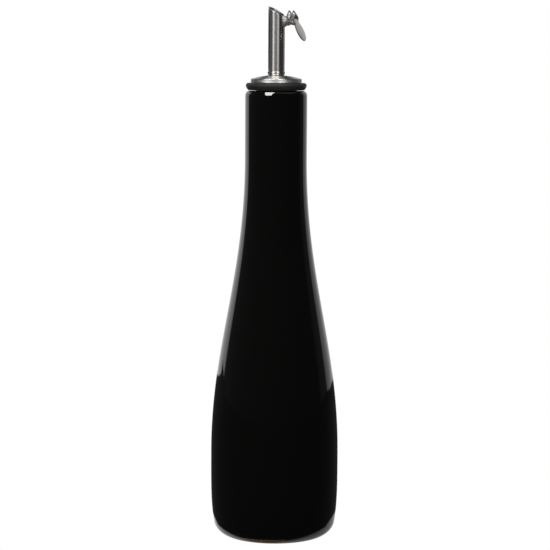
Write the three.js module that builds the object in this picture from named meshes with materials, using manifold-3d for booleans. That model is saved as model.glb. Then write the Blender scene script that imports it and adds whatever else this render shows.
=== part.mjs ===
// Tall glazed stoneware oil cruet with a rubber stopper, a domed steel cap and a steel
// pouring tube whose oval flap swings on a pin. The flap and its two pointed ears are one
// stamping, and the pin passes through a bracket on the tube.
// Millimetres, +Z up. The origin is the middle of the foot, on the bottle's axis, and the
// flap's hinge is on the +X side of the pouring tube. At rest the flap hangs open.

import * as THREE from "three";
import { mergeVertices } from "three/addons/utils/BufferGeometryUtils.js";
import Module from "manifold-3d";

const wasm = await Module();
wasm.setup();

const DEGREE = Math.PI / 180;
const GAP = 0.3; // left between pieces that touch
const MERGE_DISTANCE = 1e-4; // corners of a mesh closer than this are one corner
const BLOCK = 60; // side of a block larger than the pourer, to cut with

// Bottle
const RIM_HEIGHT = 253.4;
const NECK_RADIUS = 17.48;
const RIM_ROUNDING = 2.2;
const WAIST_RADIUS = 17.44;
const WAIST_HEIGHT = 215.2;
const WAIST_PULL = 68.3; // how far the neck runs on straight before the flank swells
const BELLY_RADIUS = 36;
const BELLY_HEIGHT = 48.7;
const BELLY_PULL = 61.5; // how far above the belly the flank is already upright
const FLANK_FOOT_RADIUS = 34.24; // where the flank turns into the foot's round corner
const FLANK_FOOT_HEIGHT = 8.6;
const CORNER_WIDTH = 13.2;
const CORNER_HEIGHT = 9.9;
const FOOT_RING_INNER_RADIUS = 17;
const FOOT_RECESS = 1.2;
const FOOT_RECESS_SLOPE = 1;
const MOUTH_RADIUS = 11;
const MOUTH_DEPTH = 24;
const MOUTH_CHAMFER = 0.5;

// Stopper: a collar on the rim and a plug in the mouth
const COLLAR_BASE_RADIUS = 15.85;
const COLLAR_RADIUS = 17.1;
const COLLAR_SHOULDER_RADIUS = 15.8;
const COLLAR_THICKNESS = 4;
const COLLAR_WIDEST_HEIGHT = 2.5;
const COLLAR_FLANK_INSET = 0.2; // the collar's flank ends just inside and under its widest ring
const COLLAR_FLANK_DROP = 1;
const PLUG_RADIUS = MOUTH_RADIUS - GAP;
const PLUG_LENGTH = 22;
const PLUG_CHAMFER = 1.5;

// Cap: a low steel dome on the collar
const CAP_RADIUS = 14.4;
const CAP_EDGE_HEIGHT = 1.8;
const CAP_EDGE_ROUNDING = 0.45;
const CAP_THICKNESS = 3.9;
const CAP_DOME_DIP = 0.55; // how far the middle of the dome's curve runs under its top

// Pouring tube
const TUBE_RADIUS = 4.65;
const TUBE_WALL = 0.5;
const TUBE_TIP_HEIGHT = 300.4;
const CUT_ANGLE = 30.1; // slope of the mouth, falling from the tip towards the hinge
const TAIL_DEPTH = 13; // how far the tube goes down into the stopper
const BEAD_RADIUS = 4.96;
const BEAD_HEIGHT = 1.8;
const BEAD_CENTRE_ABOVE_CAP = 1.35;
const TAIL_RADIUS = 4.4; // the tube is narrower below its bead
const BORE_FLOOR_ABOVE_CAP = 0.8;

// Pin of the hinge, along Y, and its place beside the tube
const PIN_OFFSET = 9.1; // from the tube's axis
const PIN_HEIGHT = 294.58;
const PIN_RADIUS = 0.6;
const PIN_HEAD_RADIUS = 0.95;
const PIN_HEAD_THICKNESS = 0.45;

// Bracket: a saddle against the tube, a hollow arm and a barrel round the pin
const BRACKET_HALF_WIDTH = 2.6;
const BRACKET_SHEET = 0.6;
const BRACKET_TOP_BELOW_PIN = 1.9; // square to the slope of the mouth
const BARREL_RADIUS = 1.5;
const SADDLE_TOP_BELOW_PIN = 0.38;
const SADDLE_HEIGHT = 5.1;
const ARM_TOP_START = -4.2; // along the slope of the mouth from the pin, inside the saddle
const ARM_UNDERSIDE = [[-4.45, -5, 0], [-2.5, -4.9, 0], [-1.2, -4.2, 0.9], [0.5, -4.35, 0.5]];
const ARM_TOE = [2.2, -4.78, 0];
const ARM_SHOULDERS = [[0.9, -1.1, 0], [-1.3, -0.35, 0]]; // hidden in the barrel
const ARM_HOLLOW = [[-3, -6, 0], [1.9, -6, 0], [0.75, -2.7, 0.4], [-2.9, -1.7, 0.4]];
const STOP_START = 2.3; // where the stop for the open flap begins and ends, from the pin
const STOP_END = 5.6;

// Flap: an oval plate with a square root, whose edges are bent up into two ears
const FLAP_DROOP = 64.9; // degrees below level, as it hangs open
const FLAP_CENTRE = 9.43; // middle of the oval, from the pin along the plate
const FLAP_HALF_LENGTH = 5.92;
const FLAP_HALF_WIDTH = 5.4;
const FLAP_THICKNESS = 0.7;
const FLAP_EDGE = 0.15;
const FLAP_INNER_FACE = 0.915; // from the pin, square to the plate
const ROOT_START = 2;
const ROOT_END = 5.2;
const JOIN = 0.05; // how far the root reaches into an ear
const EAR_INNER = 3.15; // distance of an ear's inner face from the middle plane
const EAR_THICKNESS = 0.6;
const EAR_OUTER = EAR_INNER + EAR_THICKNESS;
const EAR_HOLE_RADIUS = 0.8;
const EAR_FOOT = [[2.7, 0.97, 0], [4.9, 0.97, 0], [4.9, 1.05, 0], [3.8, 1.1, 0]];
const EAR_CORNERS = [[1.2, 2.35, 1], [-3.75, 1.5, 0.85], [-1.1, -1.6, 0.75], [0.9, -1.75, 0.9]];
const EAR_WINDOW = [[-1.35, -0.35, 0.2], [-0.65, 1.25, 0.2], [-2.75, 0.85, 0.3]];

// Fineness
const BOTTLE_SIDES = 64;
const STOPPER_SIDES = 56;
const TUBE_SIDES = 40;
const SMALL_SIDES = 24;
const FLANK_STEPS = 20;
const LOWER_FLANK_STEPS = 6;
const ARC_STEPS = 6;
const CORNER_STEPS = 8;
const CAP_EDGE_STEPS = 3;
const OVAL_STEPS = 48;
const CURVE_STEPS = 6;

const COLLAR_BASE = RIM_HEIGHT + GAP;
const COLLAR_TOP = COLLAR_BASE + COLLAR_THICKNESS;
const CAP_BASE = COLLAR_TOP + GAP;
const CAP_TOP = CAP_BASE + CAP_THICKNESS;

const glaze = new THREE.MeshStandardMaterial({ color: 0x0b0b0a, roughness: 0.08, metalness: 0 });
const rubber = new THREE.MeshStandardMaterial({ color: 0x262624, roughness: 0.6, metalness: 0 });
const steel = new THREE.MeshStandardMaterial({ color: 0xc2bfba, roughness: 0.25, metalness: 1 });

// A point of an outline, as radius and height
const at = (radius, height) => new THREE.Vector2(radius, height);

// Points of an arc of an ellipse in an outline, angles in degrees from the outward direction
function arc(centre, width, height, from, to, steps) {
  const points = [];
  for (let step = 0; step <= steps; step += 1) {
    const angle = (from + ((to - from) * step) / steps) * DEGREE;
    points.push(at(centre.x + width * Math.cos(angle), centre.y + height * Math.sin(angle)));
  }
  return points;
}

// A body turned about +Z from its outline, which starts and ends on the axis or closes on itself
function turned(outline, sides) {
  const body = new THREE.LatheGeometry(outline, sides);
  body.rotateX(Math.PI / 2);
  return body;
}

// A solid of the boolean library made from a closed geometry, with its shared corners merged
function solid(geometry) {
  const bare = geometry.clone();
  bare.deleteAttribute("normal");
  bare.deleteAttribute("uv");
  const merged = mergeVertices(bare, MERGE_DISTANCE);
  const vertProperties = new Float32Array(merged.attributes.position.array);
  const triVerts = new Uint32Array(merged.index.array);
  return new wasm.Manifold(new wasm.Mesh({ numProp: 3, vertProperties, triVerts }));
}

// The geometry of a solid of the boolean library
function geometryOf(body) {
  const mesh = body.getMesh();
  const geometry = new THREE.BufferGeometry();
  const corners = new Float32Array(mesh.vertProperties);
  geometry.setAttribute("position", new THREE.BufferAttribute(corners, 3));
  geometry.setIndex(new THREE.BufferAttribute(new Uint32Array(mesh.triVerts), 1));
  geometry.computeVertexNormals();
  return geometry;
}

// An outline through corners given as x, y and how far from the corner its rounding starts
function rounded(corners, path) {
  corners.forEach(([x, y, reach], index) => {
    const corner = at(x, y);
    const before = at(...corners[(index + corners.length - 1) % corners.length]);
    const after = at(...corners[(index + 1) % corners.length]);
    const from = before.sub(corner).setLength(reach).add(corner);
    const to = after.sub(corner).setLength(reach).add(corner);
    if (index === 0) {
      path.moveTo(from.x, from.y);
    } else {
      path.lineTo(from.x, from.y);
    }
    if (reach > 0) {
      path.quadraticCurveTo(corner.x, corner.y, to.x, to.y);
    }
  });
  path.closePath();
  return path;
}

// A flat shape drawn in X and Z, given thickness along Y from one plane to another
function slab(shape, fromY, toY) {
  const options = { depth: toY - fromY, bevelEnabled: false, curveSegments: CURVE_STEPS };
  const body = new THREE.ExtrudeGeometry(shape, options);
  body.rotateX(Math.PI / 2);
  body.translate(0, toY, 0);
  return body;
}

// A round rod along Y, centred on the origin
function rodAlongY(radius, length) {
  return new THREE.CylinderGeometry(radius, radius, length, SMALL_SIDES);
}

// A round rod along Z, centred on the origin
function rodAlongZ(radius, length) {
  const rod = new THREE.CylinderGeometry(radius, radius, length, TUBE_SIDES);
  rod.rotateX(Math.PI / 2);
  return rod;
}

// Everything above the slanting plane of the tube's mouth, as one large block
function aboveMouth() {
  const block = new THREE.BoxGeometry(BLOCK, BLOCK, BLOCK);
  block.translate(BLOCK / 2 - TUBE_RADIUS * 2, 0, BLOCK / 2);
  block.rotateY(CUT_ANGLE * DEGREE);
  block.translate(-TUBE_RADIUS, 0, TUBE_TIP_HEIGHT);
  return solid(block);
}

// Outline of the bottle, from its axis in the mouth round the outside to its axis in the foot
function bottleOutline() {
  const mouthFloor = RIM_HEIGHT - MOUTH_DEPTH;
  const rimCentre = at(NECK_RADIUS - RIM_ROUNDING, RIM_HEIGHT - RIM_ROUNDING);
  const flank = new THREE.CubicBezierCurve(
    at(WAIST_RADIUS, WAIST_HEIGHT),
    at(WAIST_RADIUS, WAIST_HEIGHT - WAIST_PULL),
    at(BELLY_RADIUS, BELLY_HEIGHT + BELLY_PULL),
    at(BELLY_RADIUS, BELLY_HEIGHT),
  );
  const outline = [
    at(0, mouthFloor),
    at(MOUTH_RADIUS, mouthFloor),
    at(MOUTH_RADIUS, RIM_HEIGHT - MOUTH_CHAMFER),
    at(MOUTH_RADIUS + MOUTH_CHAMFER, RIM_HEIGHT),
    ...arc(rimCentre, RIM_ROUNDING, RIM_ROUNDING, 90, 0, ARC_STEPS),
    ...flank.getPoints(FLANK_STEPS),
  ];
  // Below the belly the flank draws in with the fourth power of the drop
  const drop = BELLY_HEIGHT - FLANK_FOOT_HEIGHT;
  for (let step = 1; step < LOWER_FLANK_STEPS; step += 1) {
    const share = step / LOWER_FLANK_STEPS;
    const draw = (BELLY_RADIUS - FLANK_FOOT_RADIUS) * share ** 4;
    outline.push(at(BELLY_RADIUS - draw, BELLY_HEIGHT - drop * share));
  }
  // The foot's corner leaves the flank without a kink
  const flankSlope = (4 * (BELLY_RADIUS - FLANK_FOOT_RADIUS)) / drop;
  const start = Math.atan((flankSlope * CORNER_HEIGHT) / CORNER_WIDTH) / DEGREE;
  const cornerX = FLANK_FOOT_RADIUS - CORNER_WIDTH * Math.cos(start * DEGREE);
  const corner = at(cornerX, CORNER_HEIGHT);
  outline.push(...arc(corner, CORNER_WIDTH, CORNER_HEIGHT, -start, -90, CORNER_STEPS));
  outline.push(
    at(FOOT_RING_INNER_RADIUS, 0),
    at(FOOT_RING_INNER_RADIUS - FOOT_RECESS_SLOPE, FOOT_RECESS),
    at(0, FOOT_RECESS),
  );
  return outline.reverse();
}

function bottle() {
  return turned(bottleOutline(), BOTTLE_SIDES);
}

// The space that the tube's tail needs in the stopper
function tailRoom() {
  const top = CAP_BASE + GAP;
  const bottom = CAP_TOP - TAIL_DEPTH - GAP;
  const room = rodAlongZ(TAIL_RADIUS + GAP, top - bottom);
  room.translate(0, 0, (top + bottom) / 2);
  return solid(room);
}

// Stopper of one piece: a collar that tapers to the rim, and a plug
function stopper() {
  const plugEnd = COLLAR_BASE - PLUG_LENGTH;
  const widest = COLLAR_BASE + COLLAR_WIDEST_HEIGHT;
  const shoulderHeight = COLLAR_TOP - widest;
  const shoulderWidth = COLLAR_RADIUS - COLLAR_SHOULDER_RADIUS;
  const shoulderCentre = at(COLLAR_SHOULDER_RADIUS, widest);
  const outline = [
    at(0, plugEnd),
    at(PLUG_RADIUS - PLUG_CHAMFER, plugEnd),
    at(PLUG_RADIUS, plugEnd + PLUG_CHAMFER),
    at(PLUG_RADIUS, COLLAR_BASE),
    at(COLLAR_BASE_RADIUS, COLLAR_BASE),
    at(COLLAR_RADIUS - COLLAR_FLANK_INSET, widest - COLLAR_FLANK_DROP),
    ...arc(shoulderCentre, shoulderWidth, shoulderHeight, 0, 90, ARC_STEPS),
    at(0, COLLAR_TOP),
  ];
  return geometryOf(solid(turned(outline, STOPPER_SIDES)).subtract(tailRoom()));
}

// Cap: a low dome with a rounded edge, and a hole for the tube
function cap() {
  const edgeTop = CAP_BASE + CAP_EDGE_HEIGHT;
  const edgeCentre = at(CAP_RADIUS - CAP_EDGE_ROUNDING, edgeTop);
  const edgeEnd = at(CAP_RADIUS - CAP_EDGE_ROUNDING, edgeTop + CAP_EDGE_ROUNDING);
  const hole = TAIL_RADIUS + GAP;
  const dome = new THREE.QuadraticBezierCurve(
    edgeEnd,
    at((edgeEnd.x + hole) / 2, CAP_TOP - CAP_DOME_DIP),
    at(hole, CAP_TOP),
  );
  const outline = [
    at(hole, CAP_BASE),
    at(CAP_RADIUS - CAP_EDGE_ROUNDING / 2, CAP_BASE),
    at(CAP_RADIUS, CAP_BASE + CAP_EDGE_ROUNDING / 2),
    ...arc(edgeCentre, CAP_EDGE_ROUNDING, CAP_EDGE_ROUNDING, 0, 90, CAP_EDGE_STEPS),
    ...dome.getPoints(ARC_STEPS).slice(1),
    at(hole, CAP_BASE),
  ];
  return turned(outline, STOPPER_SIDES);
}

// Pouring tube with its bead on the cap, its blind bore and its slanting mouth
function pouringTube() {
  const top = TUBE_TIP_HEIGHT + 1;
  const beadCentre = at(TUBE_RADIUS, CAP_TOP + BEAD_CENTRE_ABOVE_CAP);
  const beadBulge = BEAD_RADIUS - TUBE_RADIUS;
  const boreRadius = TUBE_RADIUS - TUBE_WALL;
  const outline = [
    at(0, CAP_TOP - TAIL_DEPTH),
    at(TAIL_RADIUS, CAP_TOP - TAIL_DEPTH),
    at(TAIL_RADIUS, beadCentre.y - BEAD_HEIGHT / 2 - GAP),
    ...arc(beadCentre, beadBulge, BEAD_HEIGHT / 2, -90, 90, ARC_STEPS),
    at(TUBE_RADIUS, top),
    at(boreRadius, top),
    at(boreRadius, CAP_TOP + BORE_FLOOR_ABOVE_CAP),
    at(0, CAP_TOP + BORE_FLOOR_ABOVE_CAP),
  ];
  return geometryOf(solid(turned(outline, TUBE_SIDES)).subtract(aboveMouth()));
}

// Side outline of the bracket's arm with the pin at the origin: its top runs down with the
// mouth, its right side is the stop for the open flap, and its underside is arched
function armShape() {
  const downSlope = at(Math.cos(CUT_ANGLE * DEGREE), -Math.sin(CUT_ANGLE * DEGREE));
  const underSlope = at(-Math.sin(CUT_ANGLE * DEGREE), -Math.cos(CUT_ANGLE * DEGREE));
  const droop = at(Math.cos(FLAP_DROOP * DEGREE), -Math.sin(FLAP_DROOP * DEGREE));
  const outward = at(Math.sin(FLAP_DROOP * DEGREE), Math.cos(FLAP_DROOP * DEGREE));
  const onTop = (along) => {
    const point = downSlope.clone().multiplyScalar(along);
    point.addScaledVector(underSlope, BRACKET_TOP_BELOW_PIN);
    return [point.x, point.y, 0];
  };
  const onStop = (along) => {
    const point = droop.clone().multiplyScalar(along);
    point.addScaledVector(outward, FLAP_INNER_FACE - GAP);
    return [point.x, point.y, 0];
  };
  const corners = [
    onTop(ARM_TOP_START),
    ...ARM_UNDERSIDE,
    ARM_TOE,
    onStop(STOP_END),
    onStop(STOP_START),
    ...ARM_SHOULDERS,
    onTop(GAP - ROOT_START),
  ];
  return rounded(corners, new THREE.Shape());
}

// Curved saddle against the tube
function saddle() {
  const height = SADDLE_HEIGHT;
  const outer = rodAlongZ(TUBE_RADIUS + GAP + BRACKET_SHEET, height);
  const front = new THREE.BoxGeometry(TUBE_RADIUS * 2, BRACKET_HALF_WIDTH * 2, height * 2);
  front.translate(TUBE_RADIUS * 1.5, 0, 0);
  const body = solid(outer).intersect(solid(front));
  return body.translate([0, 0, PIN_HEIGHT - SADDLE_TOP_BELOW_PIN - height / 2]);
}

// Bracket that carries the pin; its arm is hollow from below, between two cheeks
function bracket() {
  const half = BRACKET_HALF_WIDTH;
  const cheek = half - BRACKET_SHEET;
  const arm = slab(armShape(), -half, half);
  const barrel = rodAlongY(BARREL_RADIUS, half * 2);
  const hollow = slab(rounded(ARM_HOLLOW, new THREE.Shape()), -cheek, cheek);
  const hole = rodAlongY(PIN_RADIUS + GAP, half * 3);
  const atPin = solid(arm).add(solid(barrel)).subtract(solid(hollow)).subtract(solid(hole));
  const tubeRoom = rodAlongZ(TUBE_RADIUS + GAP, TUBE_TIP_HEIGHT);
  tubeRoom.translate(0, 0, PIN_HEIGHT);
  const placed = atPin.translate([PIN_OFFSET, 0, PIN_HEIGHT]);
  return geometryOf(placed.add(saddle()).subtract(solid(tubeRoom)));
}

// Pin with a flat rivet head outside each ear
function hingePin() {
  const headStart = EAR_OUTER + GAP;
  const headEnd = headStart + PIN_HEAD_THICKNESS;
  const edge = PIN_HEAD_THICKNESS / 2;
  const outline = [
    at(0, -headEnd),
    at(PIN_HEAD_RADIUS - edge, -headEnd),
    at(PIN_HEAD_RADIUS, -headEnd + edge),
    at(PIN_HEAD_RADIUS, -headStart),
    at(PIN_RADIUS, -headStart),
    at(PIN_RADIUS, headStart),
    at(PIN_HEAD_RADIUS, headStart),
    at(PIN_HEAD_RADIUS, headEnd - edge),
    at(PIN_HEAD_RADIUS - edge, headEnd),
    at(0, headEnd),
  ];
  return new THREE.LatheGeometry(outline, SMALL_SIDES);
}

// Outline of an ear from the side, in the flap's own frame: the pin is the origin, the plate
// runs along X, and Y points to the plate's outer face. The ear is a blunt point with a window.
function earShape() {
  const ear = rounded([...EAR_FOOT, ...EAR_CORNERS], new THREE.Shape());
  ear.holes.push(rounded(EAR_WINDOW, new THREE.Path()));
  return ear;
}

// Flap in its own frame: the pin is the origin, the plate runs along X and faces +Z
function flap() {
  const oval = new THREE.Shape();
  const ovalLength = FLAP_HALF_LENGTH - FLAP_EDGE;
  const ovalWidth = FLAP_HALF_WIDTH - FLAP_EDGE;
  oval.absellipse(0, 0, ovalLength, ovalWidth, 0, Math.PI * 2, false, 0);
  const plate = new THREE.ExtrudeGeometry(oval, {
    depth: FLAP_THICKNESS - 2 * FLAP_EDGE,
    bevelEnabled: true,
    bevelThickness: FLAP_EDGE,
    bevelSize: FLAP_EDGE,
    bevelSegments: 1,
    curveSegments: OVAL_STEPS,
  });
  plate.translate(FLAP_CENTRE, 0, FLAP_INNER_FACE + FLAP_EDGE);
  const rootWidth = (EAR_INNER + JOIN) * 2;
  const root = new THREE.BoxGeometry(ROOT_END - ROOT_START, rootWidth, FLAP_THICKNESS);
  root.translate((ROOT_START + ROOT_END) / 2, 0, FLAP_INNER_FACE + FLAP_THICKNESS / 2);
  const nearEar = slab(earShape(), -EAR_OUTER, -EAR_INNER);
  const farEar = slab(earShape(), EAR_INNER, EAR_OUTER);
  const hole = rodAlongY(EAR_HOLE_RADIUS, EAR_OUTER * 3);
  const body = solid(plate).add(solid(root)).add(solid(nearEar)).add(solid(farEar));
  return geometryOf(body.subtract(solid(hole)));
}

const cruet = new THREE.Group();
cruet.name = "oil_cruet";

// Adds one named piece to a group
function piece(parent, name, geometry, material) {
  const mesh = new THREE.Mesh(geometry, material);
  mesh.name = name;
  parent.add(mesh);
  return mesh;
}

piece(cruet, "bottle", bottle(), glaze);
piece(cruet, "stopper", stopper(), rubber);
piece(cruet, "cap", cap(), steel);
piece(cruet, "spout_tube", pouringTube(), steel);
piece(cruet, "hinge_bracket", bracket(), steel);

// The pin and the flap share the hinge's place, and the flap droops from it
const hinge = new THREE.Group();
hinge.position.set(PIN_OFFSET, 0, PIN_HEIGHT);
piece(hinge, "hinge_pin", hingePin(), steel);
const hangingFlap = piece(hinge, "flap", flap(), steel);
hangingFlap.rotation.y = FLAP_DROOP * DEGREE;
cruet.add(hinge);

export default cruet;
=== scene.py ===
"""The oil cruet's looks: a black glazed bottle with a steel pourer and its hinged flap."""

import logging
import math
from collections.abc import Callable
from dataclasses import dataclass
from enum import Enum

import bmesh
import bpy
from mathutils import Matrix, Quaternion, Vector


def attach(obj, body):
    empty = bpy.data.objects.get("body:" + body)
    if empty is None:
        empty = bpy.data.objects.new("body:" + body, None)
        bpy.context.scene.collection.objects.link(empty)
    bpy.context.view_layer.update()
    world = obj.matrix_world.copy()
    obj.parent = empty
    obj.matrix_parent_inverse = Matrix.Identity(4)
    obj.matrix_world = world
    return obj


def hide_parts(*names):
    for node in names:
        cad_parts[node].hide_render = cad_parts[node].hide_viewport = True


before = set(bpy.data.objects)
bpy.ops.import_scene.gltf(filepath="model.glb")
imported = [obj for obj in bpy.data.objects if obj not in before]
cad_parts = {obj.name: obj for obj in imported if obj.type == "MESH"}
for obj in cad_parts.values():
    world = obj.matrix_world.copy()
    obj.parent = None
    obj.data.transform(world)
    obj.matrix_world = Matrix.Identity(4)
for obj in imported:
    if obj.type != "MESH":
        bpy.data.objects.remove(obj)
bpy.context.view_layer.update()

log = logging.getLogger("cruet")

MM = 0.001
SAME_POINT = 1e-6
CAMERA_AZIMUTH = math.radians(21.0)
SMOOTH_LIMIT = math.radians(32.0)

Point = tuple[float, float]
Triple = tuple[float, float, float]
Colour = tuple[float, float, float, float]
Socket = bpy.types.NodeSocket
Value = Socket | float | Triple | Colour | Vector


class Body(Enum):
    """The two bodies that pieces ride on."""

    CRUET = "cruet"
    FLAP = "spout_flap"


class Slot(Enum):
    """The record's material slots."""

    GLAZE = "glaze"
    STOPPER = "stopper_rubber"
    CAP = "cap_steel"
    SPOUT = "spout_steel"
    BRACKET = "bracket_steel"
    PIN = "pin_steel"
    FLAP = "flap_steel"


UPRIGHT_PARTS = (Slot.STOPPER, Slot.SPOUT, Slot.PIN)
UPPER_PARTS = (*UPRIGHT_PARTS, Slot.BRACKET)
POURER_PARTS = (*UPPER_PARTS, Slot.CAP, Slot.FLAP)
PLACED: dict[Slot, bpy.types.Object] = {}


def grey(value: float) -> Colour:
    """One level in all three channels."""
    return (value, value, value, 1.0)


def arc(centre: Point, radii: Point, start: float, end: float, steps: int) -> list[Point]:
    """Walks an elliptic arc.

    Args:
        centre: middle of the ellipse, as radius and height.
        radii: its reach outwards and upwards.
        start: first angle in degrees, 0 outwards and 90 up.
        end: last angle in degrees.
        steps: how many pieces the arc is cut into.

    Returns:
        The arc's points, both ends with them.
    """
    angles = [math.radians(start + (end - start) * i / steps) for i in range(steps + 1)]
    return [
        (centre[0] + radii[0] * math.cos(a), centre[1] + radii[1] * math.sin(a)) for a in angles
    ]


def bezier(handles: list[Point], steps: int) -> list[Point]:
    """Walks a Bezier curve of any degree.

    Args:
        handles: its control points, the two ends with them.
        steps: how many pieces the curve is cut into.

    Returns:
        The curve's points, both ends with them.
    """
    found = []
    for i in range(steps + 1):
        share = i / steps
        points = list(handles)
        while len(points) > 1:
            points = [
                (a[0] + (b[0] - a[0]) * share, a[1] + (b[1] - a[1]) * share)
                for a, b in zip(points, points[1:])
            ]
        found.append(points[0])
    return found


def straight(start: Point, end: Point, steps: int) -> list[Point]:
    """Cuts a straight run into even steps, both ends with them."""
    return bezier([start, end], steps)


def joined(*runs: list[Point]) -> list[Point]:
    """Chains runs of points, dropping a point that repeats the one before it.

    Args:
        *runs: the runs, in order.

    Returns:
        The points of the whole chain.
    """
    found: list[Point] = []
    for run in runs:
        for point in run:
            if not found or math.dist(found[-1], point) > SAME_POINT:
                found.append(point)
    return found


def as_object(name: str, mesh: bpy.types.Mesh) -> bpy.types.Object:
    """Shades a mesh smooth between its real edges and puts it in the scene.

    Args:
        name: the piece's name.
        mesh: its finished mesh, in metres.

    Returns:
        The new object.
    """
    mesh.shade_smooth()
    mesh.set_sharp_from_angle(angle=SMOOTH_LIMIT)
    made = bpy.data.objects.new(name, mesh)
    bpy.context.scene.collection.objects.link(made)
    return made


def turned(
    name: str,
    outline: list[Point],
    sides: int,
    lift: Callable[[float, float], float] | None = None,
) -> bpy.types.Object:
    """Spins an outline round the cruet's axis.

    Args:
        name: the piece's name.
        outline: (radius, height) points in millimetres. It closes on itself unless both
            ends lie on the axis.
        sides: how many steps make the full turn.
        lift: for a rim that isn't level, what to add to a height, from x and the height.

    Returns:
        The piece as an object.
    """
    work = bmesh.new()
    rings = []
    for radius, height in outline:
        around = 1 if radius < SAME_POINT else sides
        ring = []
        for step in range(around):
            turn = math.tau * step / sides
            x, y = radius * math.cos(turn), radius * math.sin(turn)
            z = height + (lift(x, height) if lift else 0.0)
            ring.append(work.verts.new((x * MM, y * MM, z * MM)))
        rings.append(ring)
    pairs = list(zip(rings, rings[1:]))
    if len(rings[0]) > 1 and len(rings[-1]) > 1:
        pairs.append((rings[-1], rings[0]))
    for low, high in pairs:
        for step in range(sides):
            after = (step + 1) % sides
            corners = [low[step % len(low)], low[after % len(low)]]
            corners += [high[after % len(high)], high[step % len(high)]]
            unique = list(dict.fromkeys(corners))
            if len(unique) > 2:
                work.faces.new(unique)
    bmesh.ops.recalc_face_normals(work, faces=work.faces)
    mesh = bpy.data.meshes.new(name)
    work.to_mesh(mesh)
    work.free()
    return as_object(name, mesh)


def refinish(
    piece: bpy.types.Object,
    finish: bpy.types.Material,
    picked: Callable[[float, float], bool],
) -> None:
    """Gives a second finish to some of a turned piece's faces.

    Args:
        piece: the piece, which has its first finish.
        finish: the second finish.
        picked: whether a face takes it, from its middle's radius and height in metres.
    """
    piece.data.materials.append(finish)
    for face in piece.data.polygons:
        if picked(math.hypot(face.center.x, face.center.y), face.center.z):
            face.material_index = 1


def place(piece: bpy.types.Object, body: Body, slot: Slot, *stands_for: str) -> None:
    """Rides a piece on its body, notes its slot and hides the nodes it stands for.

    Args:
        piece: the finished object.
        body: the body it moves with.
        slot: where its finish comes from.
        *stands_for: CAD nodes that it takes the place of.
    """
    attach(piece, body.value)
    PLACED[slot] = piece
    if stands_for:
        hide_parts(*stands_for)
    log.info("%s: %d faces on %s", piece.name, len(piece.data.polygons), body.value)


class Graph:
    """Short calls for building one node tree."""

    def __init__(self, tree: bpy.types.NodeTree) -> None:
        """Takes a tree and empties it."""
        self.tree = tree
        tree.nodes.clear()

    def add(
        self, kind: str, inputs: dict[str | int, Value] | None = None, **settings: object
    ) -> bpy.types.Node:
        """Adds a node.

        Args:
            kind: the node's type without its ShaderNode prefix.
            inputs: value or output socket for each input, by name or number.
            **settings: the node's own settings.

        Returns:
            The node.
        """
        node = self.tree.nodes.new("ShaderNode" + kind)
        for name, value in settings.items():
            setattr(node, name, value)
        for key, value in (inputs or {}).items():
            socket = node.inputs[key]
            if isinstance(value, bpy.types.NodeSocket):
                self.tree.links.new(value, socket)
            else:
                socket.default_value = value
        return node

    def math(self, operation: str, *values: Value) -> Socket:
        """Adds one Math node and returns its output."""
        return self.add("Math", dict(enumerate(values)), operation=operation).outputs[0]

    def spread(
        self, value: Socket, low: float, high: float, to_low: float, to_high: float
    ) -> Socket:
        """Maps a value from one range to another, held at the ends.

        Args:
            value: the socket to map.
            low: the value that gives to_low.
            high: the value that gives to_high.
            to_low: the result's one end.
            to_high: the result's other end.

        Returns:
            The mapped output socket.
        """
        sockets = {0: value, 1: low, 2: high, 3: to_low, 4: to_high}
        return self.add("MapRange", sockets, clamp=True).outputs[0]

    def blend(self, share: Value, first: Value, second: Value) -> Socket:
        """Mixes two colours.

        Args:
            share: how much of the second colour shows, from 0 to 1.
            first: the first colour.
            second: the second colour.

        Returns:
            The mixed colour's socket.
        """
        node = self.add("Mix", data_type="RGBA")
        for socket, value in ((0, share), (6, first), (7, second)):
            if isinstance(value, bpy.types.NodeSocket):
                self.tree.links.new(value, node.inputs[socket])
            else:
                node.inputs[socket].default_value = value
        return node.outputs[2]


def group(
    name: str, inputs: dict[str, float], outputs: list[str]
) -> tuple[Graph, dict[str, Socket], bpy.types.Node]:
    """Starts a node group with named sockets.

    Args:
        name: the group's name.
        inputs: each input's name with its usual value.
        outputs: the names of its value outputs.

    Returns:
        The graph, the input sockets by name, and the group's output node.
    """
    tree = bpy.data.node_groups.new(name, "ShaderNodeTree")
    tree.interface.new_socket("Position", in_out="INPUT", socket_type="NodeSocketVector")
    for key, value in inputs.items():
        socket = tree.interface.new_socket(key, in_out="INPUT", socket_type="NodeSocketFloat")
        socket.default_value = value
    for key in outputs:
        tree.interface.new_socket(key, in_out="OUTPUT", socket_type="NodeSocketFloat")
    graph = Graph(tree)
    entry = tree.nodes.new("NodeGroupInput")
    leave = tree.nodes.new("NodeGroupOutput")
    return graph, {s.name: s for s in entry.outputs if s.name}, leave


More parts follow.
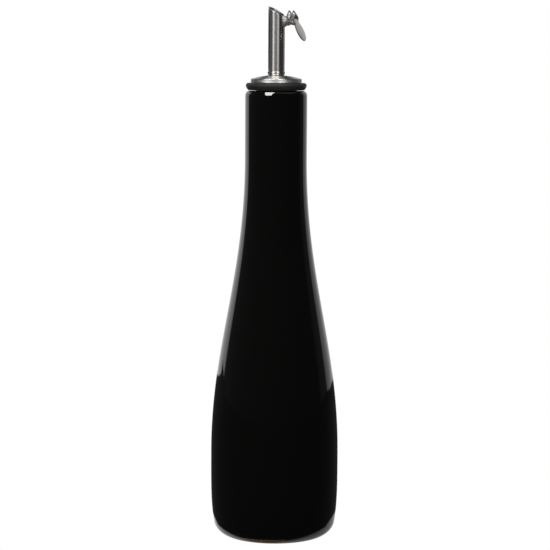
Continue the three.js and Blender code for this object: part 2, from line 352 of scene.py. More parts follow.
class Effects:
    """The surface effects that several finishes share, each a node group made once.

    Attributes:
        waviness: slow swells and a finer ripple.
        specks: scattered small marks.
        lines: fine parallel working lines.
    """

    SOFT_EDGE = 0.6

    def __init__(self) -> None:
        """Builds every group."""
        self.waviness = self._waviness()
        self.specks = self._specks()
        self.lines = self._lines()

    def _waviness(self) -> bpy.types.NodeTree:
        """Builds slow swells and a finer ripple, as a height around zero.

        Returns:
            The node group.
        """
        graph, given, leave = group(
            "waviness", {"Swell Size": 12.0, "Ripple Size": 2.0, "Ripple Share": 0.3}, ["Height"]
        )
        heights = []
        for key in ("Swell Size", "Ripple Size"):
            scale = graph.math("DIVIDE", 1.0, graph.math("MULTIPLY", given[key], MM))
            noise = graph.add(
                "TexNoise", {"Vector": given["Position"], "Scale": scale, "Detail": 1.0}
            )
            heights.append(graph.math("SUBTRACT", noise.outputs["Fac"], 0.5))
        ripple = graph.math("MULTIPLY", heights[1], given["Ripple Share"])
        graph.tree.links.new(graph.math("ADD", heights[0], ripple), leave.inputs["Height"])
        return graph.tree

    def _specks(self) -> bpy.types.NodeTree:
        """Builds scattered small round marks, as a mask from 0 to 1.

        Returns:
            The node group.
        """
        graph, given, leave = group(
            "specks", {"Spacing": 3.0, "Mark Size": 0.2, "Share": 0.5}, ["Mask"]
        )
        scale = graph.math("DIVIDE", 1.0, graph.math("MULTIPLY", given["Spacing"], MM))
        cells = graph.add("TexVoronoi", {"Vector": given["Position"], "Scale": scale})
        reach = graph.math("DIVIDE", given["Mark Size"], given["Spacing"])
        near = graph.math("SUBTRACT", 1.0, graph.math("DIVIDE", cells.outputs["Distance"], reach))
        chosen = graph.add("SeparateXYZ", {0: cells.outputs["Color"]}).outputs[0]
        kept = graph.math("LESS_THAN", chosen, given["Share"])
        mask = graph.math("MULTIPLY", graph.spread(near, 0.0, self.SOFT_EDGE, 0.0, 1.0), kept)
        graph.tree.links.new(mask, leave.inputs["Mask"])
        return graph.tree

    def _lines(self) -> bpy.types.NodeTree:
        """Builds fine parallel working lines, as a value from 0 to 1.

        The stretch is told along each axis, so that the lines run along the longest.

        Returns:
            The node group.
        """
        graph, given, leave = group(
            "working_lines",
            {"Line Width": 0.15, "Stretch X": 1.0, "Stretch Y": 1.0, "Stretch Z": 1.0},
            ["Value"],
        )
        stretch = graph.add(
            "CombineXYZ", {0: given["Stretch X"], 1: given["Stretch Y"], 2: given["Stretch Z"]}
        ).outputs[0]
        squeezed = graph.add("VectorMath", {0: given["Position"], 1: stretch}, operation="DIVIDE")
        scale = graph.math("DIVIDE", 1.0, graph.math("MULTIPLY", given["Line Width"], MM))
        noise = graph.add(
            "TexNoise", {"Vector": squeezed.outputs[0], "Scale": scale, "Detail": 3.0}
        )
        graph.tree.links.new(noise.outputs["Fac"], leave.inputs["Value"])
        return graph.tree


class Material:
    """A material under construction: its graph, its shader and the object's own position."""

    def __init__(self, name: str) -> None:
        """Starts a material with one Principled shader.

        Args:
            name: the material's name.
        """
        self.made = bpy.data.materials.new(name)
        self.made.use_nodes = True
        self.graph = Graph(self.made.node_tree)
        self.output = self.graph.add("OutputMaterial")
        self.shader = self.graph.add("BsdfPrincipled")
        self.graph.tree.links.new(self.shader.outputs[0], self.output.inputs[0])
        self.position = self.graph.add("TexCoord").outputs["Object"]

    def set(self, **sockets: Value) -> None:
        """Sets or links the shader's sockets.

        Args:
            **sockets: a value or an output socket for each, named with _ for a space.
        """
        for key, value in sockets.items():
            socket = self.shader.inputs[key.replace("_", " ")]
            if isinstance(value, bpy.types.NodeSocket):
                self.graph.tree.links.new(value, socket)
            else:
                socket.default_value = value

    def effect(self, tree: bpy.types.NodeTree, **values: float) -> Socket:
        """Places a shared effect.

        Args:
            tree: the node group.
            **values: its inputs, named with _ for a space.

        Returns:
            Its first output.
        """
        node = self.graph.add("Group", node_tree=tree)
        self.graph.tree.links.new(self.position, node.inputs["Position"])
        for key, value in values.items():
            node.inputs[key.replace("_", " ")].default_value = value
        return node.outputs[0]

    def bump(self, height: Socket, depth: float, below: Socket | None = None) -> Socket:
        """Adds a bump.

        Args:
            height: the height's socket, about 0 to 1.
            depth: what 1 of it stands for, in millimetres.
            below: the normal of a bump that this one lies on.

        Returns:
            The bump's normal.
        """
        node = self.graph.add("Bump", {"Height": height, "Strength": 1.0, "Distance": depth * MM})
        if below is not None:
            self.graph.tree.links.new(below, node.inputs["Normal"])
        return node.outputs[0]

    def height_mm(self) -> Socket:
        """The height above the floor, in millimetres."""
        up = self.graph.add("SeparateXYZ", {0: self.position}).outputs[2]
        return self.graph.math("MULTIPLY", up, 1.0 / MM)


@dataclass(frozen=True)
class GlazeFinish:
    """Glossy black glaze over a buff clay body that shows at the foot, in millimetres.

    The bare clay's edge rises from the first to the second foot_top, over bare_side's reach
    from the axis towards bare_azimuth.
    """

    black: Colour = (0.0010, 0.0009, 0.0008, 1.0)
    clay: Colour = (0.62, 0.44, 0.28, 1.0)
    grit: Colour = (0.40, 0.27, 0.17, 1.0)
    grit_share: float = 0.5
    roughness: float = 0.035
    clay_roughness: float = 0.85
    refraction: float = 1.5
    foot_top: Point = (1.4, 3.8)
    bare_side: Point = (27.5, 29.0)
    bare_azimuth: float = math.radians(9.0)
    edge_wander: float = 0.9
    edge_blur: float = 0.12
    swell_depth: float = 0.02
    pit_depth: float = 0.02

    def make(self, effects: Effects) -> bpy.types.Material:
        """Builds the material.

        Args:
            effects: the shared effects.

        Returns:
            The glaze.
        """
        made = Material("black_glaze")
        graph = made.graph
        wander = made.effect(effects.waviness, Swell_Size=7.0, Ripple_Size=1.2)
        facing = (math.sin(self.bare_azimuth) / MM, -math.cos(self.bare_azimuth) / MM, 0.0)
        towards = graph.add("VectorMath", {0: made.position, 1: facing}, operation="DOT_PRODUCT")
        line = graph.spread(towards.outputs["Value"], *self.bare_side, *self.foot_top)
        above = graph.math("SUBTRACT", made.height_mm(), line)
        edge = graph.math("ADD", above, graph.math("MULTIPLY", wander, self.edge_wander))
        bare = graph.spread(edge, -self.edge_blur, self.edge_blur, 1.0, 0.0)
        pits = made.effect(effects.specks, Spacing=5.0, Mark_Size=0.28, Share=0.35)
        grit = made.effect(effects.specks, Spacing=0.7, Mark_Size=0.35, Share=0.4)
        gritty = graph.math("MULTIPLY", grit, self.grit_share)
        made.set(
            Base_Color=graph.blend(bare, self.black, graph.blend(gritty, self.clay, self.grit)),
            Roughness=graph.spread(bare, 0.0, 1.0, self.roughness, self.clay_roughness),
            IOR=self.refraction,
        )
        waves = made.effect(effects.waviness, Swell_Size=16.0, Ripple_Size=2.2)
        swells = made.bump(waves, self.swell_depth)
        made.set(Normal=made.bump(graph.math("MULTIPLY", pits, -1.0), self.pit_depth, swells))
        return made.made


@dataclass(frozen=True)
class RubberFinish:
    """Dark moulded rubber with a fine matt grain."""

    colour: Colour = (0.024, 0.023, 0.022, 1.0)
    paler: Colour = grey(0.034)
    patch_range: Point = (-0.3, 0.3)
    roughness: Point = (0.44, 0.58)
    gloss: float = 0.4
    grain_depth: float = 0.03

    def make(self, effects: Effects) -> bpy.types.Material:
        """Builds the material.

        Args:
            effects: the shared effects.

        Returns:
            The rubber.
        """
        made = Material("stopper_rubber")
        graph = made.graph
        grain = made.effect(effects.waviness, Swell_Size=0.5, Ripple_Size=0.14, Ripple_Share=0.8)
        patches = made.effect(effects.waviness, Swell_Size=4.0, Ripple_Size=0.8)
        share = graph.spread(patches, *self.patch_range, 0.0, 1.0)
        made.set(
            Base_Color=graph.blend(share, self.colour, self.paler),
            Roughness=graph.spread(patches, *self.patch_range, *self.roughness),
            Normal=made.bump(grain, self.grain_depth),
            Specular_IOR_Level=self.gloss,
        )
        return made.made


@dataclass(frozen=True)
class SteelFinish:
    """Bare stainless steel: polished, drawn or stamped, by its numbers, in millimetres."""

    name: str
    colour: float = 0.62
    tint: Triple = (1.02, 0.99, 0.955)
    roughness: float = 0.2
    roughness_swing: float = 0.06
    line_width: float = 0.12
    line_range: Point = (0.3, 0.7)
    line_tones: Point = (0.94, 1.04)
    stretch: Triple = (1.0, 1.0, 1.0)
    line_depth: float = 0.004
    blotch_size: float = 2.0
    blotch_range: Point = (-0.35, 0.35)
    blotch_depth: float = 0.02
    blotch_tone: float = 0.14
    speck_share: float = 0.2
    speck_tone: float = 0.35
    turned: float = 0.0
    turned_way: float = 0.25

    def make(self, effects: Effects) -> bpy.types.Material:
        """Builds the material.

        Args:
            effects: the shared effects.

        Returns:
            The steel.
        """
        made = Material(self.name)
        graph = made.graph
        across, along, up = self.stretch
        lines = made.effect(
            effects.lines, Line_Width=self.line_width,
            Stretch_X=across, Stretch_Y=along, Stretch_Z=up,
        )
        blotches = made.effect(
            effects.waviness, Swell_Size=self.blotch_size, Ripple_Size=self.blotch_size / 4
        )
        specks = made.effect(effects.specks, Spacing=1.4, Mark_Size=0.22, Share=self.speck_share)
        dark = self.colour * (1.0 - self.blotch_tone)
        light = self.colour * (1.0 + self.blotch_tone / 2)
        tone = graph.spread(blotches, *self.blotch_range, dark, light)
        worked = graph.spread(lines, *self.line_range, *self.line_tones)
        tone = graph.math("MULTIPLY", tone, worked)
        marked = graph.spread(specks, 0.0, 1.0, 1.0, self.speck_tone)
        tone = graph.math("MULTIPLY", tone, marked)
        tinted = [graph.math("MULTIPLY", tone, share) for share in self.tint]
        low, high = self.roughness - self.roughness_swing, self.roughness + self.roughness_swing
        swells = made.bump(blotches, self.blotch_depth)
        made.set(
            Base_Color=graph.add("CombineColor", dict(enumerate(tinted))).outputs[0],
            Metallic=1.0,
            Roughness=graph.spread(lines, *self.line_range, low, high),
            Normal=made.bump(lines, self.line_depth, swells),
        )
        if self.turned:
            ring = graph.add("Tangent", direction_type="RADIAL", axis="Z").outputs[0]
            made.set(
                Tangent=ring, Anisotropic=self.turned, Anisotropic_Rotation=self.turned_way
            )
        return made.made


class Finishes:
    """Every finish of the cruet, built once."""

    def __init__(self, effects: Effects) -> None:
        """Builds all materials.

        Args:
            effects: the shared effects.
        """
        self.glaze = GlazeFinish().make(effects)
        self.rubber = RubberFinish().make(effects)
        self.cap = SteelFinish(
            "cap_steel", colour=0.6, roughness=0.3, roughness_swing=0.02, turned=0.9,
            line_width=0.1, line_depth=0.0006, blotch_depth=0.003,
        ).make(effects)
        # The cap's side wall: rougher steel with up-and-down lines, its lower colour painted
        # shade that dims the wall's highlight.
        self.cap_wall = SteelFinish(
            "cap_wall_steel_painted_shade", colour=0.42, roughness=0.42, roughness_swing=0.03,
            line_width=0.1, stretch=(8.0, 8.0, 1.0), line_depth=0.0006, blotch_depth=0.003,
        ).make(effects)
        self.tube = SteelFinish(
            "tube_steel", colour=0.62, roughness=0.15, roughness_swing=0.02, turned=0.3,
            line_width=0.1, stretch=(1.0, 1.0, 30.0), line_depth=0.0006,
            blotch_size=1.6, blotch_depth=0.004, speck_share=0.35,
        ).make(effects)
        # The bore: rougher steel, its lower colour painted shade inside the tube.
        self.bore = SteelFinish(
            "bore_steel_painted_shade", colour=0.5, roughness=0.35, line_depth=0.001, blotch_depth=0.005,
        ).make(effects)
        self.flap = SteelFinish(
            "flap_steel", colour=0.43, roughness=0.2, line_width=0.1,
            stretch=(12.0, 1.0, 12.0), line_depth=0.001, blotch_depth=0.005,
        ).make(effects)
        self.bracket = SteelFinish(
            "bracket_steel", colour=0.36, roughness=0.2, line_depth=0.001,
            blotch_size=1.4, blotch_depth=0.06, blotch_tone=0.5, speck_share=0.5,
        ).make(effects)
        self.pin = SteelFinish(
            "pin_steel", colour=0.6, roughness=0.15, line_depth=0.001, blotch_depth=0.005,
        ).make(effects)


@dataclass
class Bottle:
    """The glazed bottle, in millimetres."""

    rim_height: float = 253.4
    rim_rounding: Point = (2.2, 3.0)
    neck_radius: float = 17.48
    neck_foot: Point = (17.44, 215.2)
    flank_handles: tuple[Point, Point] = ((17.44, 146.9), (36.0, 110.2))
    belly: Point = (36.0, 48.7)
    belly_pull: float = 1.76
    corner_top: float = 8.6
    corner_radii: Point = (13.2, 9.9)
    corner_centre: Point = (21.15, 9.9)
    corner_end: float = -7.5
    foot_inner: float = 17.0
    recess: Point = (16.0, 1.2)
    mouth_radius: float = 11.0
    mouth_chamfer: float = 0.5
    mouth_floor: float = 229.4
    corner_steps: int = 56
    belly_steps: int = 48
    flank_steps: int = 120
    neck_steps: int = 12
    rim_steps: int = 28
    sides: int = 256

    def outline(self) -> list[Point]:
        """Draws the half outline, from under the foot up and down into the mouth.

        Returns:
            The outline as (radius, height) points.
        """
        across, down = self.rim_rounding
        rim_centre = (self.neck_radius - across, self.rim_height - down)
        fall = self.belly[1] - self.corner_top
        lower = [
            (self.belly[0] - self.belly_pull * share**4, self.belly[1] - fall * share)
            for share in (i / self.belly_steps for i in range(self.belly_steps, -1, -1))
        ]
        return joined(
            [(0.0, self.recess[1]), self.recess, (self.foot_inner, 0.0)],
            arc(
                self.corner_centre, self.corner_radii, -90.0, self.corner_end, self.corner_steps
            ),
            lower,
            bezier(
                [self.belly, *reversed(self.flank_handles), self.neck_foot], self.flank_steps
            ),
            straight(self.neck_foot, (self.neck_radius, rim_centre[1]), self.neck_steps),
            arc(rim_centre, self.rim_rounding, 0.0, 90.0, self.rim_steps),
            [
                (self.mouth_radius + self.mouth_chamfer, self.rim_height),
                (self.mouth_radius, self.rim_height - self.mouth_chamfer),
                (self.mouth_radius, self.mouth_floor),
                (0.0, self.mouth_floor),
            ],
        )

    def build(self, finishes: Finishes) -> None:
        """Builds and dresses the bottle.

        Args:
            finishes: every finish of the cruet.
        """
        piece = turned("glazed_bottle", self.outline(), self.sides)
        piece.data.materials.append(finishes.glaze)
        place(piece, Body.CRUET, Slot.GLAZE, "bottle")


@dataclass
class Pourer:
    """The stopper, cap and tube, in millimetres."""

    plug_radius: float = 10.7
    plug_floor: float = 231.7
    plug_chamfer: float = 1.5
    hole_radius: float = 4.7
    hole_floor: float = 248.6
    collar_foot: float = 253.7
    collar_top: float = 257.7
    collar_lip: Point = (15.8, 256.2)
    collar_rounding: Point = (1.3, 1.5)
    collar_side: tuple[Point, ...] = ((17.1, 256.2), (16.9, 255.2), (15.85, 253.7))
    cap_floor: float = 258.0
    cap_reach: float = 14.3
    cap_foot: Point = (14.4, 258.1)
    cap_wall: tuple[Point, Point] = ((14.27, 258.9), (14.25, 259.9))
    cap_edge: Point = (14.05, 259.896)
    cap_edge_rounding: Point = (0.2, 0.2)
    cap_edge_turn: Point = (1.1, 75.2)
    cap_dome: tuple[Point, Point] = ((9.325, 261.35), (4.7, 261.9))
    tube_radius: float = 4.65
    bore_radius: float = 4.15
    bore_floor: float = 262.7
    bore_margin: float = 0.05
    tail_radius: float = 4.4
    tail_floor: float = 248.9
    tail_gap: float = 0.3
    bead_height: float = 263.25
    bead_half: float = 0.9
    bead_radius: float = 4.96
    bead_fullness: float = 0.8
    bead_steps: int = 24
    tip: float = 300.4
    lip: float = 0.12
    slant_foot: float = 287.0
    slant_run: float = 12.0
    mouth_slope: float = math.tan(math.radians(30.1))
    sides: int = 128

    def collar(self) -> list[Point]:
        """Draws the stopper's half outline.

        Returns:
            The outline as (radius, height) points.
        """
        return joined(
            [(0.0, self.hole_floor), (self.hole_radius, self.hole_floor)],
            straight(
                (self.hole_radius, self.collar_top), (self.collar_lip[0], self.collar_top), 4
            ),
            arc(self.collar_lip, self.collar_rounding, 90.0, 0.0, 14),
            [*self.collar_side, (self.plug_radius, self.collar_foot)],
            [(self.plug_radius, self.plug_floor + self.plug_chamfer)],
            [(self.plug_radius - self.plug_chamfer, self.plug_floor), (0.0, self.plug_floor)],
        )

    def lid(self) -> list[Point]:
        """Draws the cap's outline, closed round its hole.

        Returns:
            The outline as (radius, height) points.
        """
        edge = arc(self.cap_edge, self.cap_edge_rounding, *self.cap_edge_turn, 10)
        return joined(
            [(self.hole_radius, self.cap_floor), (self.cap_reach, self.cap_floor)],
            bezier([self.cap_foot, *self.cap_wall], 12),
            edge,
            bezier([edge[-1], *self.cap_dome], 40),
        )

    def tube(self) -> list[Point]:
        """Draws the tube's half outline with its mouth level: the slant comes from slant().

        Returns:
            The outline as (radius, height) points.
        """
        lip, outer, inner = self.lip, self.tube_radius, self.bore_radius
        quarter = math.pi / 2
        turns = [math.pi * i / self.bead_steps - quarter for i in range(self.bead_steps + 1)]
        bulge = self.bead_radius - outer
        bead = [
            (
                outer + bulge * max(0.0, math.cos(turn)) ** self.bead_fullness,
                self.bead_height + self.bead_half * math.sin(turn),
            )
            for turn in turns
        ]
        return joined(
            [(0.0, self.tail_floor), (self.tail_radius, self.tail_floor)],
            [(self.tail_radius, self.bead_height - self.bead_half - self.tail_gap)],
            bead,
            straight((outer, self.bead_height + self.bead_half), (outer, self.slant_foot), 12),
            straight((outer, self.slant_foot), (outer, self.tip - lip), 24),
            arc((outer - lip, self.tip - lip), (lip, lip), 0.0, 90.0, 4),
            [((outer + inner) / 2, self.tip)],
            arc((inner + lip, self.tip - lip), (lip, lip), 90.0, 180.0, 4),
            straight((inner, self.tip - lip), (inner, self.slant_foot), 24),
            [(inner, self.bore_floor), (0.0, self.bore_floor)],
        )

    def slant(self, x: float, height: float) -> float:
        """How far a point of the tube's wall slides down for the slanted mouth.

        Args:
            x: the point's place across, in millimetres.
            height: its height with the mouth level.

        Returns:
            What to add to the height.
        """
        share = min(1.0, max(0.0, (height - self.slant_foot) / self.slant_run))
        return -self.mouth_slope * (x + self.tube_radius) * share

    def build(self, finishes: Finishes) -> None:
        """Builds and dresses the three pieces.

        Args:
            finishes: every finish of the cruet.
        """
        stopper = turned("rubber_stopper", self.collar(), self.sides)
        stopper.data.materials.append(finishes.rubber)
        place(stopper, Body.CRUET, Slot.STOPPER, "stopper")
        cap = turned("steel_cap", self.lid(), self.sides)
        cap.data.materials.append(finishes.cap)
        # The side wall takes the darker steel: painted shade that dims its highlight.
        edge_out, edge_up = self.cap_edge
        refinish(
            cap, finishes.cap_wall, lambda out, up: out > edge_out * MM and up < edge_up * MM
        )
        place(cap, Body.CRUET, Slot.CAP, "cap")
        tube = turned("steel_tube", self.tube(), self.sides, self.slant)
        tube.data.materials.append(finishes.tube)
        # The bore takes the darker steel: painted shade inside the tube.
        bore = self.bore_radius + self.bore_margin
        refinish(
            tube, finishes.bore, lambda out, up: out < bore * MM and up > self.bead_height * MM
        )
        place(tube, Body.CRUET, Slot.SPOUT, "spout_tube")


@dataclass
class Hinge:
    """The bracket, the pin and the flap: the frame's solids with their edges worn round."""

    bracket_edge: float = 0.12
    pin_edge: float = 0.08
    flap_edge: float = 0.1
    real_edge: float = math.radians(38.0)
    flat_edge: float = math.radians(0.6)

    def softened(self, name: str, node: str, width: float) -> bpy.types.Object:
        """Rounds over the real edges of a node's solid.

        Args:
            name: the new piece's name.
            node: the CAD node.
            width: the rounding's width in millimetres.

        Returns:
            The new piece.
        """
        work = bmesh.new()
        work.from_mesh(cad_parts[node].data)
        bmesh.ops.remove_doubles(work, verts=work.verts, dist=SAME_POINT)
        bmesh.ops.dissolve_limit(
            work, angle_limit=self.flat_edge, verts=work.verts, edges=work.edges
        )
        edges = [e for e in work.edges if e.is_manifold and e.calc_face_angle() > self.real_edge]
        bmesh.ops.bevel(
            work, geom=edges, offset=width * MM, segments=3, profile=0.5, affect="EDGES",
            clamp_overlap=True,
        )
        mesh = bpy.data.meshes.new(name)
        work.to_mesh(mesh)
        work.free()
        return as_object(name, mesh)

    def build(self, finishes: Finishes) -> None:
        """Builds and dresses the bracket, the pin and the flap.

        Args:
            finishes: every finish of the cruet.
        """
        bracket = self.softened("tube_bracket", "hinge_bracket", self.bracket_edge)
        bracket.data.materials.append(finishes.bracket)
        place(bracket, Body.CRUET, Slot.BRACKET, "hinge_bracket")
        pin = self.softened("rivet_pin", "hinge_pin", self.pin_edge)
        pin.data.materials.append(finishes.pin)
        place(pin, Body.CRUET, Slot.PIN, "hinge_pin")
        flap = self.softened("oval_flap", "flap", self.flap_edge)
        flap.data.materials.append(finishes.flap)
        place(flap, Body.FLAP, Slot.FLAP, "flap")


@dataclass(frozen=True)
class SoftBox:
    """An even rectangular lamp.

    Sizes and shifts are shares of its distance, so that they read as angles. The shift is
    to the right and up as the lamp looks at the cruet, and the roll leans its top left. It
    lights the pieces of the slots it names: what the dark glaze needs would burn out steel.
    """

    name: str
    azimuth: float
    elevation: float
    size: Point
    radiance: float
    shift: Point = (0.0, 0.0)
    roll: float = 0.0
    reach: float = 0.9
    aim_height: float = 0.25
    lights: tuple[Slot, ...] = POURER_PARTS


@dataclass(frozen=True)
class Card:
    """A dark card bent round the axis, a light flag that only shows in what the cruet mirrors.

    Its azimuths are in degrees from the camera, + to its right, its heights in metres, and its
    level is how light the cruet mirrors it.
    """

    name: str
    radius: float
    heights: Point
    azimuths: Point
    level: float = 0.0


@dataclass
class Studio:
    """The floor, the lights, the surroundings and the camera, in metres.

    The levels are how light the room is round the cruet, by degrees from straight behind it,
    + to the camera's right. The floor mirrors as dark from the cruet out to its white edge,
    apart from a painted pool of light at the foot, with a painted contact shadow close round
    the cruet. The edge's runs are the slope and the start of straight lines on the floor, away
    from the camera for each metre to its right.
    """

    boxes: tuple[SoftBox, ...] = (
        SoftBox("key", -41.0, 48.4, (0.43, 1.5), 19.0, (0.032, 0.12), 17.5, lights=(Slot.GLAZE,)),
        SoftBox("ceiling", 0.0, 88.0, (1.4, 1.0), 0.38, (0.25, 0.0), lights=(Slot.GLAZE,)),
        SoftBox("cap_left_box", -40.0, 50.0, (0.72, 1.7), 5.0, lights=(Slot.CAP,)),
        SoftBox("cap_right_box", 23.0, 45.0, (0.46, 1.4), 5.4, lights=(Slot.CAP,)),
        SoftBox("left_box", -40.0, 50.0, (0.8, 1.7), 1.8, lights=UPPER_PARTS),
        SoftBox("right_box", 23.0, 45.0, (0.5, 1.4), 1.8, lights=UPPER_PARTS),
        SoftBox("hinge_box", -30.0, 30.0, (1.0, 1.0), 0.4, lights=(Slot.BRACKET,)),
        SoftBox("flap_box", -30.0, 30.0, (1.0, 1.0), 0.22, lights=(Slot.FLAP,)),
        SoftBox("side_box", 69.0, 52.0, (1.0, 0.9), 0.35, lights=(Slot.BRACKET, Slot.FLAP)),
        SoftBox("left_panel", -42.0, 0.0, (0.44, 0.6), 0.7, lights=UPRIGHT_PARTS),
        SoftBox("right_panel", 21.0, 0.0, (0.4, 0.6), 0.36, lights=UPRIGHT_PARTS),
        SoftBox("low_fill", -8.0, 0.0, (2.2, 0.6), 0.22),
        SoftBox("left_fill", -95.0, 0.0, (1.4, 1.4), 0.06, lights=(Slot.SPOUT,)),
        SoftBox(
            "left_rim_box", -135.5, 0.0, (0.82, 0.32), 1.0, reach=0.137, aim_height=0.281,
            lights=(Slot.GLAZE,),
        ),
        SoftBox(
            "right_rim_box", 143.5, 0.0, (0.52, 0.32), 0.75, reach=0.14, aim_height=0.281,
            lights=(Slot.GLAZE,),
        ),
    )
    cards: tuple[Card, ...] = (
        Card("left_card", 0.15, (0.261, 0.301), (-157.5, -113.5)),
        Card("right_card", 0.15, (0.261, 0.301), (129.5, 157.5)),
        Card("low_card", 1.0, (0.0, 0.085), (-134.0, -110.0), 0.045),
        Card("left_dome_card", 0.1, (0.268, 0.335), (-177.5, -169.0)),
        Card("right_dome_card", 0.1, (0.268, 0.335), (169.0, 177.5)),
    )
    card_steps: int = 32
    levels: tuple[Point, ...] = (
        (-180.0, 0.043), (-130.0, 0.047), (-60.0, 0.07), (-56.0, 1.0), (0.0, 1.0), (40.0, 0.6),
        (57.0, 0.5), (60.0, 0.08), (80.0, 0.08), (83.0, 0.043), (180.0, 0.043),
    )
    room_foot: Point = (-0.26, -0.22)
    room_top: Point = (0.4, 0.6)
    dark_level: float = 0.035
    floor_half: float = 6.0
    pool_right: float = 0.004
    pool_away: float = 0.028
    pool_edge: Point = (0.055, 0.0575)
    # Painted contact shadow: how far out and how dark the floor mirrors round the cruet's foot.
    foot_shadow_run: Point = (0.026, 0.042)
    foot_shadow_level: float = 0.45
    pool_sides: Point = (-0.03, 0.03)
    pool_right_level: float = 0.55
    near_level: float = 0.04
    left_run: Point = (-0.64, 0.66)
    right_runs: tuple[Point, Point] = ((0.5, 0.66), (0.2, 0.85))
    edge_blur: float = 0.015
    white_reach: float = 3.4
    distance: float = 1.35
    camera_height: float = 0.285
    aim_height: float = 0.150
    focal: float = 157.09
    sensor: float = 36.0
    clip: Point = (0.05, 20.0)
    roll: float = math.radians(0.292)
    aim_left: float = 0.00016
    aim_drop: float = 0.00056

    def bearing(self, azimuth: float) -> Vector:
        """The level direction at an azimuth in degrees from the camera, + to its right."""
        turn = CAMERA_AZIMUTH + math.radians(azimuth)
        return Vector((math.sin(turn), -math.cos(turn), 0.0))

    def along(self, graph: Graph, way: Socket, azimuth: float) -> Socket:
        """Measures how far a place lies in a level direction.

        Args:
            graph: the tree it is for.
            way: the place, or a direction.
            azimuth: the level direction, in degrees from the camera.

        Returns:
            The length in that direction.
        """
        inputs = {0: way, 1: self.bearing(azimuth)}
        return graph.add("VectorMath", inputs, operation="DOT_PRODUCT").outputs["Value"]

    def camera(self) -> None:
        """Sets the camera where the photograph was taken."""
        data = bpy.data.cameras.new("camera")
        data.sensor_width = self.sensor
        data.lens = self.focal
        data.clip_start, data.clip_end = self.clip
        made = bpy.data.objects.new("camera", data)
        made.location = self.bearing(0.0) * self.distance + Vector((0, 0, self.camera_height))
        right = self.bearing(90.0)
        aim = Vector((0, 0, self.aim_height - self.aim_drop)) - right * self.aim_left
        facing = (aim - made.location).to_track_quat("-Z", "Y")
        made.rotation_mode = "QUATERNION"
        made.rotation_quaternion = facing @ Quaternion((0, 0, 1), self.roll)
        bpy.context.scene.collection.objects.link(made)
        bpy.context.scene.camera = made

    def lamp(self, box: SoftBox) -> None:
        """Adds a soft box that faces the cruet.

        Args:
            box: the lamp.
        """
        data = bpy.data.lights.new(box.name, "AREA")
        data.shape = "RECTANGLE"
        data.size, data.size_y = (side * box.reach for side in box.size)
        data.energy = box.radiance * math.pi * data.size * data.size_y
        made = bpy.data.objects.new(box.name, data)
        raise_by = math.radians(box.elevation)
        out = self.bearing(box.azimuth) * math.cos(raise_by) + Vector((0, 0, math.sin(raise_by)))
        facing = (-out).to_track_quat("-Z", "Y")
        aside = facing @ Vector((*box.shift, 0.0))
        made.location = Vector((0, 0, box.aim_height)) + (out + aside) * box.reach
        made.rotation_mode = "QUATERNION"
        made.rotation_quaternion = facing @ Quaternion((0, 0, 1), math.radians(box.roll))
        bpy.context.scene.collection.objects.link(made)
        receivers = bpy.data.collections.new(box.name)
        for slot in box.lights:
            receivers.objects.link(PLACED[slot])
        made.light_linking.receiver_collection = receivers

    def surround(self, graph: Graph, way: Socket) -> Socket:
        """The room's brightness all round: white behind the cruet, dark in front of it.

        Args:
            graph: the tree it is for.
            way: a direction or a place, of which only the azimuth counts.

        Returns:
            The colour at that azimuth.
        """
        right, away = self.along(graph, way, 90.0), self.along(graph, way, 180.0)
        turn = graph.spread(graph.math("ARCTAN2", right, away), -math.pi, math.pi, 0.0, 1.0)
        ramp = graph.add("ValToRGB", {0: turn})
        bar = ramp.color_ramp
        while len(bar.elements) < len(self.levels):
            bar.elements.new(0.5)
        for element, (degrees, level) in zip(bar.elements, self.levels):
            element.position = (degrees + 180.0) / 360.0
            element.color = grey(level)
        return ramp.outputs[0]

    def world(self) -> None:
        """The room round the cruet, plain white to the camera."""
        made = bpy.data.worlds.new("studio")
        made.use_nodes = True
        bpy.context.scene.world = made
        graph = Graph(made.node_tree)
        out = graph.add("OutputWorld")
        way = graph.add("TexCoord").outputs["Generated"]
        up = graph.add("SeparateXYZ", {0: way}).outputs[2]
        above_foot = graph.spread(up, *self.room_foot, 0.0, 1.0)
        below_top = graph.spread(up, *self.room_top, 1.0, 0.0)
        band = graph.math("MULTIPLY", above_foot, below_top)
        around = graph.blend(band, grey(self.dark_level), self.surround(graph, way))
        seen = graph.add("LightPath").outputs["Is Camera Ray"]
        colour = graph.blend(seen, around, grey(1.0))
        back = graph.add("Background", {"Color": colour, "Strength": 1.0})
        graph.tree.links.new(back.outputs[0], out.inputs[0])

    def stage_piece(self, name: str, work: bmesh.types.BMesh) -> bpy.types.Object:
        """Puts the floor or a card in the scene.

        Args:
            name: its name.
            work: its mesh, which is freed.

        Returns:
            The new object.
        """
        mesh = bpy.data.meshes.new(name)
        work.to_mesh(mesh)
        work.free()
        made = bpy.data.objects.new(name, mesh)
        bpy.context.scene.collection.objects.link(made)
        return made

    def hang(self, card: Card) -> None:
        """Builds a card out of sight of the camera.

        Args:
            card: the card.
        """
        start, end = card.azimuths
        work = bmesh.new()
        pairs = []
        for step in range(self.card_steps + 1):
            azimuth = start + (end - start) * step / self.card_steps
            out = self.bearing(azimuth) * card.radius
            pairs.append([work.verts.new(out + Vector((0, 0, z))) for z in card.heights])
        for here, there in zip(pairs, pairs[1:]):
            work.faces.new([here[0], there[0], there[1], here[1]])
        made = self.stage_piece(card.name, work)
        made.visible_camera = False
        made.visible_diffuse = False
        made.visible_shadow = False
        made.visible_transmission = False
        dark = Material(card.name)
        dark.set(
            Base_Color=grey(0.0), Roughness=1.0, Specular_IOR_Level=0.0,
            Emission_Color=grey(card.level), Emission_Strength=1.0,
        )
        made.data.materials.append(dark.made)

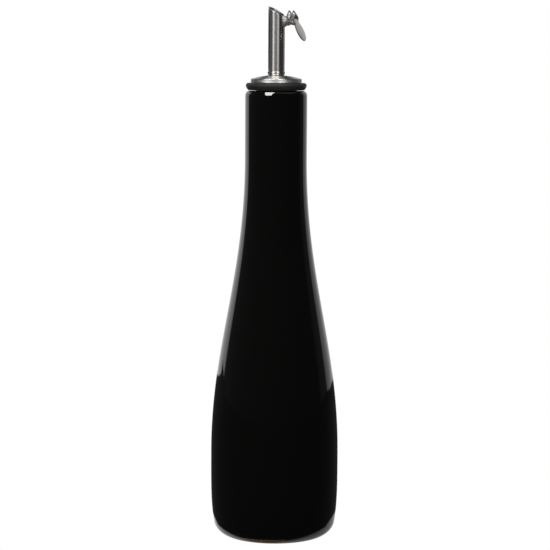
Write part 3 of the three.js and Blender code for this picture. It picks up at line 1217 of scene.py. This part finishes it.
    def pool(self, white: Material) -> Socket:
        """How light the floor near the cruet mirrors: a painted pool of light with a painted
        shadow.

        Args:
            white: the floor's material.

        Returns:
            The level as a colour.
        """
        graph = white.graph
        middle = self.bearing(90.0) * self.pool_right + self.bearing(180.0) * self.pool_away
        offset = graph.add("VectorMath", {0: white.position, 1: middle}, operation="SUBTRACT")
        reach = graph.add("VectorMath", {0: offset.outputs[0]}, operation="LENGTH")
        inside = graph.spread(reach.outputs["Value"], *self.pool_edge, 1.0, 0.0)
        out = graph.add("VectorMath", {0: white.position}, operation="LENGTH").outputs["Value"]
        # Painted contact shadow: the floor mirrors darker close round the cruet's foot; the pool
        # is dimmer to the right.
        foot_shadow = graph.spread(out, *self.foot_shadow_run, self.foot_shadow_level, 1.0)
        right = self.along(graph, white.position, 90.0)
        side = graph.spread(right, *self.pool_sides, 1.0, self.pool_right_level)
        depth = graph.math("MULTIPLY", inside, graph.math("MULTIPLY", foot_shadow, side))
        lit = graph.math("MAXIMUM", depth, self.near_level)
        return graph.add("CombineColor", {0: lit, 1: lit, 2: lit}).outputs[0]

    def beyond_edge(self, white: Material) -> Socket:
        """Where the floor mirrors as the room does: beyond its white edge, or far out.

        Args:
            white: the floor's material.

        Returns:
            The mask, 1 beyond the edge.
        """
        graph = white.graph
        right = self.along(graph, white.position, 90.0)
        away = self.along(graph, white.position, 180.0)
        runs = [
            graph.math("MULTIPLY_ADD", right, slope, start)
            for slope, start in (self.left_run, *self.right_runs)
        ]
        edge = graph.math("MAXIMUM", runs[0], graph.math("MINIMUM", runs[1], runs[2]))
        share = graph.math("DIVIDE", away, edge)
        beyond = graph.spread(share, 1.0 - self.edge_blur, 1.0 + self.edge_blur, 0.0, 1.0)
        out = graph.add("VectorMath", {0: white.position}, operation="LENGTH").outputs["Value"]
        return graph.math("MAXIMUM", beyond, graph.math("GREATER_THAN", out, self.white_reach))

    def floor(self) -> None:
        """A plain white floor, of which the glaze mirrors only a painted pool of light and shadow
        at its foot.
        """
        work = bmesh.new()
        bmesh.ops.create_grid(work, x_segments=8, y_segments=8, size=self.floor_half)
        made = self.stage_piece("floor", work)
        white = Material("floor_white")
        graph = white.graph
        room = self.surround(graph, white.position)
        level = graph.blend(self.beyond_edge(white), self.pool(white), room)
        seen = graph.add("LightPath").outputs["Is Camera Ray"]
        glow = graph.add("Emission", {"Color": graph.blend(seen, level, grey(1.0))})
        graph.tree.links.new(glow.outputs[0], white.output.inputs[0])
        graph.tree.nodes.remove(white.shader)
        made.data.materials.append(white.made)

    def build(self) -> None:
        """Sets up the whole studio."""
        self.camera()
        self.world()
        self.floor()
        for card in self.cards:
            self.hang(card)
        for box in self.boxes:
            self.lamp(box)
        bpy.context.scene.view_settings.view_transform = "Standard"
        log.info("studio: %d lamps and %d cards", len(self.boxes), len(self.cards))


def main() -> None:
    """Builds the cruet's pieces in order, and the studio round them."""
    logging.basicConfig(level=logging.INFO, format="%(name)s %(message)s")
    finishes = Finishes(Effects())
    Bottle().build(finishes)
    Pourer().build(finishes)
    Hinge().build(finishes)
    Studio().build()


if __name__ == "__main__":
    main()
